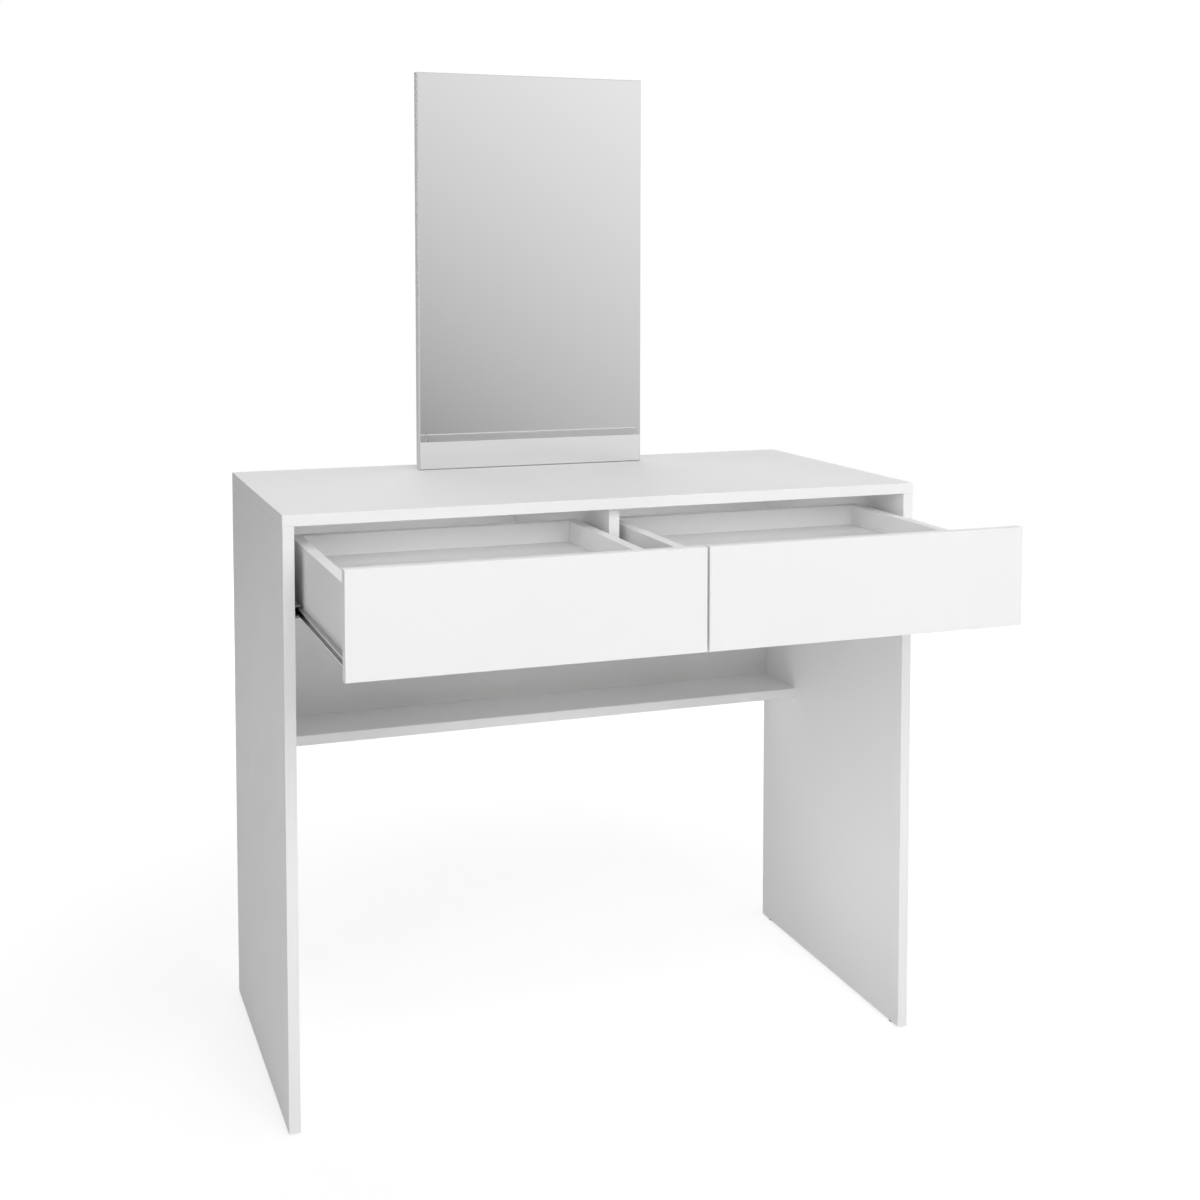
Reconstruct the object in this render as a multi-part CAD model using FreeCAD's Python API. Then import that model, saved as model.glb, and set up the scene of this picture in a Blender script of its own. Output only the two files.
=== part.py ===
import FreeCAD, Part
import os
from FreeCAD import Vector

os.makedirs("parts", exist_ok=True)

# A flat-pack dressing table with two drawers, an open knee space and a mirror on its top.
# The frame: X to the right, Y to the back, Z up, with the floor at Z = 0. The drawers are drawn
# open, and the origin lies under the middle of the table with its drawers open. Millimetres.

# The table
TABLE_WIDTH = 900.0
TABLE_DEPTH = 455.0
TABLE_HEIGHT = 800.0
BOARD = 15.0            # laminated particleboard of the table and of the mirror board
THIN_BOARD = 3.0        # hardboard of the back panel and the drawer bottoms
SHELF_TOP = 421.0       # height of the rear shelf's upper face above the floor
SHELF_DEPTH = 117.0
BACK_INSET = 5.0        # from the rear edges of the boards to the back panel
BACK_CLEARANCE = 0.5    # between the divider and the back panel

# Edge bands and grooves
BAND = 1.0              # thickness of the plastic edge bands
BAND_FLAT = 0.2         # what the rounded long edges leave of that thickness
GROOVE_DEPTH = 6.0
GROOVE_PLAY = 0.2       # on each face of a thin board in its groove
GROOVE_END_PLAY = 0.5   # between the edge of a thin board and the foot of its groove

# The drawers
FRONT_BOARD = 15.0      # thickness of the drawer fronts
DRAWER_BOARD = 15.0     # thickness of the drawer sides and backs
FRONT_HEIGHT = 125.0
FRONT_GAP = 3.0         # gap round a drawer front, and behind it in front of the divider
SIDE_DROP = 26.0        # drawer sides lie this far below the top edge of the front
FINGER_LIP = 9.0        # the front hangs this far below the drawer sides, as a finger pull
BOTTOM_DROP = 29.0      # from the top of the drawer sides down to the drawer bottom
DRAWER_REAR_ROOM = 30.0  # behind a closed drawer
DIVIDER_LIP = 6.0       # the divider hangs this far below the drawer sides

# The ball bearing slides
SLIDE_GAP = 13.0        # between a drawer side and the board that carries it
SLIDE_SETBACK = 2.0     # from the back of the drawer front to the slide's front end
SLIDE_RISE = 7.0        # slide's middle line above the lower edge of the drawer side
SLIDE_OVERLAP = 100.0   # length that the two members still share at the open stop
SLIDE_SHEET = 1.2       # thickness of the rolled steel
RUNNER_SIDE_GAP = 1.8   # between the runner's lips and the drawer side
RUNNER_LIP = 0.8        # inward lip that keeps the balls in
RUNNER_BEND = 1.0       # rounding of the runner's folded corners
MEMBER_HEIGHT = 9.6
MEMBER_FLANGE = 6.3     # how far the drawer member stands off the drawer side
MEMBER_BEND = 1.0       # rounding of the drawer member's folded corners
BALL_RADIUS = 1.15
BALL_PLAY = 0.1         # round a ball in its track and in its cage
BALL_PITCH = 16.0
CAGE_SHEET = 0.6
CAGE_GAP = 0.8          # between the cage's web and the runner's web
CAGE_RIM = 0.25         # cage material outside the ball holes
CAGE_END_PLAY = 0.5     # between the cage and each stop
STOP_LENGTH = 2.0       # along the slide
STOP_HALF_HEIGHT = 3.0

# The mirror
MIRROR_WIDTH = 360.0
MIRROR_HEIGHT = 600.0
MIRROR_BACK_GAP = 56.0  # from the mirror board's back to the rear edge of the top
GLASS = 3.0
GLASS_MARGIN = 0.5      # board seen round the glass
GLASS_BEVEL = 1.2       # ground edge of the glass
TAPE = 1.0              # foam tape between glass and board
TAPE_WIDTH = 40.0
TAPE_COUNT = 3
TAPE_INSET = 20.0       # from the edge of the glass

# Floor glides
GLIDE_HEIGHT = 2.5
GLIDE_EDGE = 0.5        # from the rim of a glide to the faces of the side panel
GLIDE_ROUND = 0.8
GLIDE_INSET = 25.0      # from a glide's middle to the end of the side panel
NAIL_RADIUS = 0.9
NAIL_LENGTH = 14.0
NAIL_HEAD_RADIUS = 2.2
NAIL_HEAD = 0.8
NAIL_SINK = 0.7         # nail head above the floor

# Fasteners
HOLE_PLAY = 0.1         # round a fastener in its hole
HOLE_END_PLAY = 0.5     # past the end of a fastener in its hole
CAM_RADIUS = 7.5
CAM_REACH = 34.0        # from the joint to the middle of the cam
CAM_SKIN = 2.5          # board left under a cam
CAM_INSET = 100.0       # from the front and back of the table to the cams under the top
CAM_BORE_PLAY = 0.3     # round the bolt's head inside its cam
CAM_SLOT_LENGTH = 8.0
CAM_SLOT_WIDTH = 1.4
CAM_SLOT_DEPTH = 1.5
CAP_OVERLAP = 1.5       # of a cam's cap over the board round the cam
CAP_THICKNESS = 1.0
CAP_ROUND = 0.6
CAP_PLAY = 0.15         # round the cap's cross in the recess of its cam
BOLT_RADIUS = 3.0
BOLT_NECK_RADIUS = 1.6
BOLT_NECK = 3.0
BOLT_HEAD = 2.5
BOLT_THREAD_RADIUS = 2.5
BOLT_SKIN = 4.0         # board left beyond the thread of a cam bolt
DOWEL_RADIUS = 4.0
DOWEL_IN_EDGE = 20.0
DOWEL_SKIN = 5.0        # board left beyond a dowel
DOWEL_STEP = 32.0       # from a cam to the dowel beside it
BOX_DOWEL_INSET = 11.0  # lower dowels from the lower edge of a drawer side
BOX_SCREW_RADIUS = 2.5
BOX_SCREW_BITE = 23.0   # in the end of the drawer back
BOX_SCREW_HEAD_RADIUS = 4.5
SLIDE_SCREW_RADIUS = 1.75
SLIDE_SCREW_HEAD_RADIUS = 3.0
SLIDE_SCREW_SKIN = 3.0  # board left beyond a slide screw
SLIDE_SCREW_INSET = 36.0  # from the ends of a slide
SLIDE_SCREW_COUNT = 3
SLIDE_SCREW_STAGGER = 16.0  # so that screws from the two faces of the divider pass each other
MIRROR_SCREW_RADIUS = 2.5
MIRROR_SCREW_HEAD_RADIUS = 4.5
MIRROR_SCREW_BITE = 35.0
MIRROR_SCREW_INSET = 60.0  # from the sides of the mirror board

# What follows from these sizes
BOX_LENGTH = TABLE_DEPTH - BACK_INSET - THIN_BOARD - DRAWER_REAR_ROOM - FRONT_BOARD
SLIDE_LENGTH = BOX_LENGTH - SLIDE_SETBACK
DRAWER_TRAVEL = SLIDE_LENGTH - SLIDE_OVERLAP
FRONT_Y = (DRAWER_TRAVEL - TABLE_DEPTH) / 2
BACK_Y = FRONT_Y + TABLE_DEPTH
HALF_WIDTH = TABLE_WIDTH / 2
INNER_X = HALF_WIDTH - BOARD
TOP_UNDERSIDE = TABLE_HEIGHT - BOARD
SHELF_UNDERSIDE = SHELF_TOP - BOARD
SHELF_FRONT_Y = BACK_Y - SHELF_DEPTH
BACK_PANEL_Y = BACK_Y - BACK_INSET - THIN_BOARD
BAND_ROUND = BAND - BAND_FLAT
DIVIDER_FRONT_Y = FRONT_Y + FRONT_BOARD + FRONT_GAP
FRONT_TOP = TOP_UNDERSIDE - FRONT_GAP
FRONT_BOTTOM = FRONT_TOP - FRONT_HEIGHT
BOX_TOP = FRONT_TOP - SIDE_DROP
BOX_BOTTOM = FRONT_BOTTOM + FINGER_LIP
BOX_FRONT_Y = FRONT_Y + FRONT_BOARD - DRAWER_TRAVEL
BOX_BACK_Y = BOX_FRONT_Y + BOX_LENGTH
BOX_FLOOR = BOX_TOP - BOTTOM_DROP
DIVIDER_BOTTOM = BOX_BOTTOM - DIVIDER_LIP
LOWER_JOINT_Z = (BOX_BOTTOM + BOX_FLOOR - THIN_BOARD) / 2
UPPER_JOINT_Z = (BOX_FLOOR + BOX_TOP) / 2
SLIDE_Z = BOX_BOTTOM + SLIDE_RISE
RUNNER_FLANGE = SLIDE_GAP - RUNNER_SIDE_GAP
RUNNER_HEIGHT = MEMBER_HEIGHT + 2 * (2 * (BALL_RADIUS + BALL_PLAY) + SLIDE_SHEET)
RUNNER_FRONT_Y = FRONT_Y + FRONT_BOARD + SLIDE_SETBACK
MEMBER_FRONT_Y = RUNNER_FRONT_Y - DRAWER_TRAVEL
CAGE_LENGTH = SLIDE_OVERLAP - 2 * (STOP_LENGTH + CAGE_END_PLAY)
CAGE_FRONT_Y = RUNNER_FRONT_Y + STOP_LENGTH + CAGE_END_PLAY
MIRROR_BACK_Y = BACK_Y - MIRROR_BACK_GAP
MIRROR_FRONT_Y = MIRROR_BACK_Y - BOARD

RIGHT = Vector(1, 0, 0)
LEFT = Vector(-1, 0, 0)
BACK = Vector(0, 1, 0)
FRONT = Vector(0, -1, 0)
UP = Vector(0, 0, 1)
DOWN = Vector(0, 0, -1)

pieces = {}
cuts = {}


def add(node, *solids):
    """Put solids into a node."""
    pieces.setdefault(node, []).extend(solids)


def cut_from(node, *tools):
    """Keep holes and grooves that are cut from a node at the end."""
    cuts.setdefault(node, []).extend(tools)


def block(low, high):
    """A box between two opposite corners."""
    size = Vector(*high) - Vector(*low)
    return Part.makeBox(size.x, size.y, size.z, Vector(*low))


def rod(radius, start, end):
    """A round bar from one point to another."""
    return Part.makeCylinder(radius, start.distanceToPoint(end), start, end - start)


def cone(start_radius, end_radius, start, end):
    """A tapered round bar from one point to another."""
    return Part.makeCone(start_radius, end_radius, start.distanceToPoint(end), start, end - start)


def fused(first, *others):
    """One solid from several that meet."""
    return first.multiFuse(list(others)).removeSplitter().Solids[0]


def edge_band(low, high, outward):
    """A strip of edge band whose two long outer edges are rounded."""
    strip = block(low, high)
    outer_face = max(strip.Faces, key=lambda face: face.CenterOfMass.dot(outward))
    long_edges = sorted(outer_face.Edges, key=lambda edge: edge.Length)[-2:]
    return strip.makeFillet(BAND_ROUND, long_edges)


def cross(mouth, along, across, opening, play):
    """The two bars of the cross recess in the face of a cam, or of a cross that goes into it."""
    bars = []
    for length_way, width_way in ((along, across), (across, along)):
        half_length = length_way * (CAM_SLOT_LENGTH / 2 - play)
        half_width = width_way * (CAM_SLOT_WIDTH / 2 - play)
        corners = [mouth - half_length - half_width, mouth + half_length - half_width]
        corners += [mouth + half_length + half_width, mouth - half_length + half_width]
        outline = Part.makePolygon(corners + corners[:1])
        bars.append(Part.Face(outline).extrude(opening * (play - CAM_SLOT_DEPTH)))
    return bars


def cam_joint(locks, bolts, edge_node, face_node, joint, inward, opening, edge_board, face_board):
    """A cam lock in the edge of one board and its bolt in the face of another.

    joint lies where the boards meet, in the middle of the edge, inward points into the edge and
    opening points at the face through which the cam goes in.
    """
    middle = joint + inward * CAM_REACH
    mouth = middle + opening * (edge_board / 2)
    seat = mouth - opening * (edge_board - CAM_SKIN)
    shoulder = middle - inward * (BOLT_NECK + BOLT_HEAD / 2)
    neck_end = shoulder + inward * BOLT_NECK
    tip = neck_end + inward * BOLT_HEAD
    thread_end = joint - inward * (face_board - BOLT_SKIN)
    bore = rod(BOLT_RADIUS + CAM_BORE_PLAY, joint, tip + inward * HOLE_END_PLAY)
    recess = cross(mouth, inward, inward.cross(opening), opening, 0)
    add(locks, rod(CAM_RADIUS, seat, mouth).cut([bore] + recess).Solids[0])
    add(bolts, fused(
        rod(BOLT_THREAD_RADIUS, thread_end, joint),
        rod(BOLT_RADIUS, joint, shoulder),
        rod(BOLT_NECK_RADIUS, shoulder, neck_end),
        rod(BOLT_RADIUS, neck_end, tip)))
    cut_from(edge_node, rod(CAM_RADIUS + HOLE_PLAY, seat, mouth))
    cut_from(edge_node, rod(BOLT_RADIUS + HOLE_PLAY, joint, middle))
    cut_from(face_node, rod(BOLT_THREAD_RADIUS + HOLE_PLAY, thread_end - inward * HOLE_END_PLAY, joint))


def capped_cam_joint(edge_node, face_node, joint, inward, opening):
    """A cam joint of the table, with a plastic cap over the cam that presses into its recess."""
    cam_joint("cam_locks", "cam_bolts", edge_node, face_node, joint, inward, opening, BOARD, BOARD)
    mouth = joint + inward * CAM_REACH + opening * (BOARD / 2)
    disc = rod(CAM_RADIUS + CAP_OVERLAP, mouth, mouth + opening * CAP_THICKNESS)
    outer_rim = max(disc.Edges, key=lambda edge: edge.CenterOfMass.dot(opening))
    disc = disc.makeFillet(CAP_ROUND, [outer_rim])
    add("cam_caps", fused(disc, *cross(mouth, inward, inward.cross(opening), opening, CAP_PLAY)))


def dowel_joint(dowels, edge_node, face_node, joint, inward, face_board):
    """A wooden dowel across a joint, in the edge of one board and the face of another."""
    face_end = joint - inward * (face_board - DOWEL_SKIN)
    edge_end = joint + inward * DOWEL_IN_EDGE
    add(dowels, rod(DOWEL_RADIUS, face_end, edge_end))
    hole_radius = DOWEL_RADIUS + HOLE_PLAY
    cut_from(face_node, rod(hole_radius, face_end - inward * HOLE_END_PLAY, joint))
    cut_from(edge_node, rod(hole_radius, joint, edge_end + inward * HOLE_END_PLAY))


def flush_screw(screws, nodes, head, direction, length, radius, head_radius):
    """A countersunk screw with its head flush at a point, and its hole through the named nodes."""
    neck = head + direction * (head_radius - radius)
    tip = head + direction * length
    add(screws, fused(cone(head_radius, radius, head, neck), rod(radius, neck, tip)))
    countersink = cone(head_radius + HOLE_PLAY, radius + HOLE_PLAY, head, neck)
    hole = rod(radius + HOLE_PLAY, head, tip + direction * HOLE_END_PLAY)
    for node in nodes:
        cut_from(node, countersink, hole)


def top_panel():
    """The top, banded at its front and its two sides."""
    low, high = TOP_UNDERSIDE, TABLE_HEIGHT
    board_x, board_y = HALF_WIDTH - BAND, FRONT_Y + BAND
    add("top_panel", block((-board_x, board_y, low), (board_x, BACK_Y, high)))
    bands = "top_edge_bands"
    add(bands, edge_band((-HALF_WIDTH, FRONT_Y, low), (HALF_WIDTH, board_y, high), FRONT))
    add(bands, edge_band((-HALF_WIDTH, board_y, low), (-board_x, BACK_Y, high), LEFT))
    add(bands, edge_band((board_x, board_y, low), (HALF_WIDTH, BACK_Y, high), RIGHT))


def side_panel(node, outer_x, inner_x, inner_way):
    """One side panel with its front band, its joints to the top and its two floor glides."""
    low_x, high_x = sorted((outer_x, inner_x))
    middle_x = (outer_x + inner_x) / 2
    add(node, block((low_x, FRONT_Y + BAND, GLIDE_HEIGHT), (high_x, BACK_Y, TOP_UNDERSIDE)))
    band_low = (low_x, FRONT_Y, GLIDE_HEIGHT)
    band_high = (high_x, FRONT_Y + BAND, TOP_UNDERSIDE)
    add("side_edge_bands", edge_band(band_low, band_high, FRONT))
    for cam_y, step in ((FRONT_Y + CAM_INSET, DOWEL_STEP), (BACK_Y - CAM_INSET, -DOWEL_STEP)):
        joint = Vector(middle_x, cam_y, TOP_UNDERSIDE)
        capped_cam_joint(node, "top_panel", joint, DOWN, inner_way)
        dowel_joint("panel_dowels", node, "top_panel", joint + BACK * step, DOWN, BOARD)
    for glide_y in (FRONT_Y + GLIDE_INSET, BACK_Y - GLIDE_INSET):
        floor_glide(node, Vector(middle_x, glide_y, 0))


def floor_glide(panel, foot):
    """A round plastic glide held by a nail in the lower edge of a side panel."""
    radius = BOARD / 2 - GLIDE_EDGE
    disc = rod(radius, foot, foot + UP * GLIDE_HEIGHT)
    lower_rim = min(disc.Edges, key=lambda edge: edge.BoundBox.ZMax)
    disc = disc.makeFillet(GLIDE_ROUND, [lower_rim])
    head = foot + UP * NAIL_SINK
    shank = head + UP * NAIL_HEAD
    tip = head + UP * NAIL_LENGTH
    head_hole = rod(NAIL_HEAD_RADIUS + HOLE_PLAY, foot, shank)
    shank_hole = rod(NAIL_RADIUS + HOLE_PLAY, shank, tip + UP * HOLE_END_PLAY)
    add("floor_glides", disc.cut([head_hole, shank_hole]).Solids[0])
    add("glide_nails", fused(rod(NAIL_HEAD_RADIUS, head, shank), rod(NAIL_RADIUS, shank, tip)))
    cut_from(panel, shank_hole)


def centre_divider():
    """The board between the drawers, hung from the top and banded at its front and lower edges."""
    half = BOARD / 2
    front_y, back_y = DIVIDER_FRONT_Y, BACK_PANEL_Y - BACK_CLEARANCE
    low, high = DIVIDER_BOTTOM, TOP_UNDERSIDE
    add("centre_divider", block((-half, front_y + BAND, low + BAND), (half, back_y, high)))
    bands = "divider_edge_bands"
    add(bands, edge_band((-half, front_y, low), (half, front_y + BAND, high), FRONT))
    add(bands, edge_band((-half, front_y + BAND, low), (half, back_y, low + BAND), DOWN))
    for cam_y, step in ((FRONT_Y + CAM_INSET, DOWEL_STEP), (BACK_Y - CAM_INSET, -DOWEL_STEP)):
        joint = Vector(0, cam_y, TOP_UNDERSIDE)
        capped_cam_joint("centre_divider", "top_panel", joint, DOWN, RIGHT)
        dowel_joint("panel_dowels", "centre_divider", "top_panel", joint + BACK * step, DOWN, BOARD)


def rear_shelf():
    """The shelf at the back of the knee space, joined to both side panels."""
    band_y = SHELF_FRONT_Y + BAND
    add("rear_shelf", block((-INNER_X, band_y, SHELF_UNDERSIDE), (INNER_X, BACK_Y, SHELF_TOP)))
    band_low = (-INNER_X, SHELF_FRONT_Y, SHELF_UNDERSIDE)
    add("shelf_edge_band", edge_band(band_low, (INNER_X, band_y, SHELF_TOP), FRONT))
    middle_y = BACK_Y - SHELF_DEPTH / 2
    middle_z = SHELF_TOP - BOARD / 2
    ends = (("left_side_panel", -INNER_X, RIGHT), ("right_side_panel", INNER_X, LEFT))
    for panel, end_x, inward in ends:
        joint = Vector(end_x, middle_y, middle_z)
        capped_cam_joint("rear_shelf", panel, joint, inward, DOWN)
        for step in (-DOWEL_STEP, DOWEL_STEP):
            dowel_joint("panel_dowels", "rear_shelf", panel, joint + BACK * step, inward, BOARD)


def back_panel():
    """The thin back between the top and the shelf, held in grooves all round."""
    reach = GROOVE_DEPTH - GROOVE_END_PLAY
    low = Vector(-INNER_X - reach, BACK_PANEL_Y, SHELF_TOP - reach)
    high = Vector(INNER_X + reach, BACK_PANEL_Y + THIN_BOARD, TOP_UNDERSIDE + reach)
    add("back_panel", block(low, high))
    play = Vector(GROOVE_END_PLAY, GROOVE_PLAY, GROOVE_END_PLAY)
    groove = block(low - play, high + play)
    for node in ("left_side_panel", "right_side_panel", "top_panel", "rear_shelf"):
        cut_from(node, groove)


def mirror():
    """The mirror board on the top, its bands, and the glass taped to its face."""
    half = MIRROR_WIDTH / 2
    foot = TABLE_HEIGHT
    head = TABLE_HEIGHT + MIRROR_HEIGHT
    front_y, back_y = MIRROR_FRONT_Y, MIRROR_BACK_Y
    add("mirror_board", block((BAND - half, front_y, foot), (half - BAND, back_y, head - BAND)))
    bands = "mirror_board_edge_bands"
    add(bands, edge_band((-half, front_y, foot), (BAND - half, back_y, head - BAND), LEFT))
    add(bands, edge_band((half - BAND, front_y, foot), (half, back_y, head - BAND), RIGHT))
    add(bands, edge_band((-half, front_y, head - BAND), (half, back_y, head), UP))
    glass_half = half - GLASS_MARGIN
    glass_low, glass_high = foot + GLASS_MARGIN, head - GLASS_MARGIN
    tape_front = front_y - TAPE
    glass = block((-glass_half, tape_front - GLASS, glass_low), (glass_half, tape_front, glass_high))
    glass_face = min(glass.Faces, key=lambda face: face.CenterOfMass.y)
    add("mirror_glass", glass.makeChamfer(GLASS_BEVEL, glass_face.Edges))
    first = TAPE_INSET - glass_half
    step = (2 * (glass_half - TAPE_INSET) - TAPE_WIDTH) / (TAPE_COUNT - 1)
    for index in range(TAPE_COUNT):
        tape_x = first + index * step
        tape_low = (tape_x, tape_front, glass_low + TAPE_INSET)
        tape_high = (tape_x + TAPE_WIDTH, front_y, glass_high - TAPE_INSET)
        add("mirror_tape_strips", block(tape_low, tape_high))
    middle_y = (front_y + back_y) / 2
    for way in (LEFT, RIGHT):
        joint = way * (half - MIRROR_SCREW_INSET) + Vector(0, middle_y, foot)
        flush_screw(
            "mirror_board_screws", ("top_panel", "mirror_board"), joint + DOWN * BOARD, UP,
            BOARD + MIRROR_SCREW_BITE, MIRROR_SCREW_RADIUS, MIRROR_SCREW_HEAD_RADIUS)
        dowel_at = joint - way * DOWEL_STEP
        dowel_joint("mirror_board_dowels", "mirror_board", "top_panel", dowel_at, UP, BOARD)


def extruded(points, length):
    """A bar along Y with a section given by points."""
    outline = Part.makePolygon(points + points[:1])
    return Part.Face(outline).extrude(BACK * length)


def slide_point(board_x, way, reach, y, z):
    """A point at a distance from the face that carries a runner, measured towards the drawer."""
    return Vector(board_x + way * reach, y, SLIDE_Z + z)


def mirrored_section(board_x, way, y, upper_half):
    """The points of a section whose lower half repeats its upper half."""
    points = [slide_point(board_x, way, reach, y, z) for reach, z in upper_half]
    points += [slide_point(board_x, way, reach, y, -z) for reach, z in reversed(upper_half)]
    return points


def slide_screws(screws, nodes, board_x, way, reach, front_y, direction, board, stagger):
    """The flush screws along one member of a slide."""
    span = SLIDE_LENGTH - 2 * SLIDE_SCREW_INSET
    for index in range(SLIDE_SCREW_COUNT):
        screw_y = front_y + SLIDE_SCREW_INSET + stagger + index * span / (SLIDE_SCREW_COUNT - 1)
        head = slide_point(board_x, way, reach, screw_y, 0)
        length = SLIDE_SHEET + board - SLIDE_SCREW_SKIN
        flush_screw(screws, nodes, head, direction, length, SLIDE_SCREW_RADIUS, SLIDE_SCREW_HEAD_RADIUS)


def folded(channel, board_x, way, bend):
    """A channel with its two long outer corners rounded, on the side away from where way points."""
    folds = [edge for edge in channel.Edges if edge.Length > SLIDE_LENGTH - SLIDE_SHEET]
    folds.sort(key=lambda edge: way * (edge.CenterOfMass.x - board_x) - abs(edge.CenterOfMass.z - SLIDE_Z))
    return channel.makeFillet(bend, folds[:2])


def runner(node, panel, board_x, way, stagger):
    """The cabinet member: a lipped channel with a stop at its front end."""
    outer, inner = RUNNER_HEIGHT / 2, RUNNER_HEIGHT / 2 - SLIDE_SHEET
    lip_reach, lip_z = RUNNER_FLANGE - SLIDE_SHEET, inner - RUNNER_LIP
    half_section = [
        (0, outer), (RUNNER_FLANGE, outer), (RUNNER_FLANGE, lip_z),
        (lip_reach, lip_z), (lip_reach, inner), (SLIDE_SHEET, inner)]
    channel = extruded(mirrored_section(board_x, way, RUNNER_FRONT_Y, half_section), SLIDE_LENGTH)
    channel = folded(channel, board_x, way, RUNNER_BEND)
    stop_reach = SLIDE_SHEET + CAGE_GAP + CAGE_SHEET
    stop_section = [(SLIDE_SHEET, STOP_HALF_HEIGHT), (stop_reach, STOP_HALF_HEIGHT)]
    stop = extruded(mirrored_section(board_x, way, RUNNER_FRONT_Y, stop_section), STOP_LENGTH)
    add(node, fused(channel, stop))
    slide_screws(
        "runner_screws", (node, panel), board_x, way, SLIDE_SHEET,
        RUNNER_FRONT_Y, Vector(-way, 0, 0), BOARD, stagger)


def drawer_member(node, screws, panel, board_x, way, stagger):
    """The drawer member: a small channel with a stop at its rear end."""
    outer, inner = MEMBER_HEIGHT / 2, MEMBER_HEIGHT / 2 - SLIDE_SHEET
    edge_reach, web_reach = SLIDE_GAP - MEMBER_FLANGE, SLIDE_GAP - SLIDE_SHEET
    half_section = [(SLIDE_GAP, outer), (edge_reach, outer), (edge_reach, inner), (web_reach, inner)]
    channel = extruded(mirrored_section(board_x, way, MEMBER_FRONT_Y, half_section), SLIDE_LENGTH)
    channel = folded(channel, board_x, -way, MEMBER_BEND)
    stop_y = MEMBER_FRONT_Y + SLIDE_LENGTH - STOP_LENGTH
    stop_section = [(SLIDE_SHEET + CAGE_GAP, STOP_HALF_HEIGHT), (web_reach, STOP_HALF_HEIGHT)]
    stop = extruded(mirrored_section(board_x, way, stop_y, stop_section), STOP_LENGTH)
    add(node, fused(channel, stop))
    slide_screws(
        screws, (node, panel), board_x, way, web_reach,
        MEMBER_FRONT_Y, Vector(way, 0, 0), DRAWER_BOARD, stagger)


def ball_cage(cages, balls, board_x, way):
    """The strip that keeps two rows of balls apart, and the balls between the two members."""
    track_low, track_high = MEMBER_HEIGHT / 2, RUNNER_HEIGHT / 2 - SLIDE_SHEET
    ball_z = (track_low + track_high) / 2
    ball_reach = (SLIDE_GAP - MEMBER_FLANGE + RUNNER_FLANGE - SLIDE_SHEET) / 2
    hole_radius = BALL_RADIUS + BALL_PLAY
    web = SLIDE_SHEET + CAGE_GAP
    rim = ball_reach + hole_radius + CAGE_RIM
    outer, inner = ball_z + CAGE_SHEET / 2, ball_z - CAGE_SHEET / 2
    half_section = [(web, outer), (rim, outer), (rim, inner), (web + CAGE_SHEET, inner)]
    strip = extruded(mirrored_section(board_x, way, CAGE_FRONT_Y, half_section), CAGE_LENGTH)
    count = int(CAGE_LENGTH // BALL_PITCH)
    first_y = CAGE_FRONT_Y + (CAGE_LENGTH - (count - 1) * BALL_PITCH) / 2
    holes = []
    for index in range(count):
        for z in (-ball_z, ball_z):
            middle = slide_point(board_x, way, ball_reach, first_y + index * BALL_PITCH, z)
            add(balls, Part.makeSphere(BALL_RADIUS, middle))
            holes.append(rod(hole_radius, middle + DOWN * CAGE_SHEET, middle + UP * CAGE_SHEET))
    add(cages, strip.cut(holes).Solids[0])


def drawer_front(drawer, low_x, high_x):
    """A drawer front with a band on each of its four edges."""
    face_y, rear_y = BOX_FRONT_Y - FRONT_BOARD, BOX_FRONT_Y
    low, high = FRONT_BOTTOM, FRONT_TOP
    left, right = low_x + BAND, high_x - BAND
    foot, head = low + BAND, high - BAND
    add(drawer + "_front", block((left, face_y, foot), (right, rear_y, head)))
    bands = drawer + "_front_edge_bands"
    add(bands, edge_band((low_x, face_y, head), (high_x, rear_y, high), UP))
    add(bands, edge_band((low_x, face_y, low), (high_x, rear_y, foot), DOWN))
    add(bands, edge_band((low_x, face_y, foot), (left, rear_y, head), LEFT))
    add(bands, edge_band((right, face_y, foot), (high_x, rear_y, head), RIGHT))


def drawer_side(drawer, node, outer_x, way):
    """A drawer side, joined to the front by a cam and two dowels and to the back by two screws.

    way points from the outer face to the inside of the drawer.
    """
    inner_x = outer_x + way * DRAWER_BOARD
    middle_x = (outer_x + inner_x) / 2
    low_x, high_x = sorted((outer_x, inner_x))
    add(node, block((low_x, BOX_FRONT_Y, BOX_BOTTOM), (high_x, BOX_BACK_Y, BOX_TOP - BAND)))
    band_high = (high_x, BOX_BACK_Y, BOX_TOP)
    add(drawer + "_box_edge_bands", edge_band((low_x, BOX_FRONT_Y, BOX_TOP - BAND), band_high, UP))
    front = drawer + "_front"
    inside = Vector(way, 0, 0)
    locks, bolts = drawer + "_cam_locks", drawer + "_cam_bolts"
    joint = Vector(middle_x, BOX_FRONT_Y, LOWER_JOINT_Z)
    cam_joint(locks, bolts, node, front, joint, BACK, inside, DRAWER_BOARD, FRONT_BOARD)
    for dowel_z in (BOX_BOTTOM + BOX_DOWEL_INSET, UPPER_JOINT_Z):
        joint = Vector(middle_x, BOX_FRONT_Y, dowel_z)
        dowel_joint(drawer + "_dowels", node, front, joint, BACK, FRONT_BOARD)
    for screw_z in (LOWER_JOINT_Z, UPPER_JOINT_Z):
        head = Vector(outer_x, BOX_BACK_Y - DRAWER_BOARD / 2, screw_z)
        flush_screw(
            drawer + "_box_screws", (node, drawer + "_back"), head, inside,
            DRAWER_BOARD + BOX_SCREW_BITE, BOX_SCREW_RADIUS, BOX_SCREW_HEAD_RADIUS)


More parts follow.
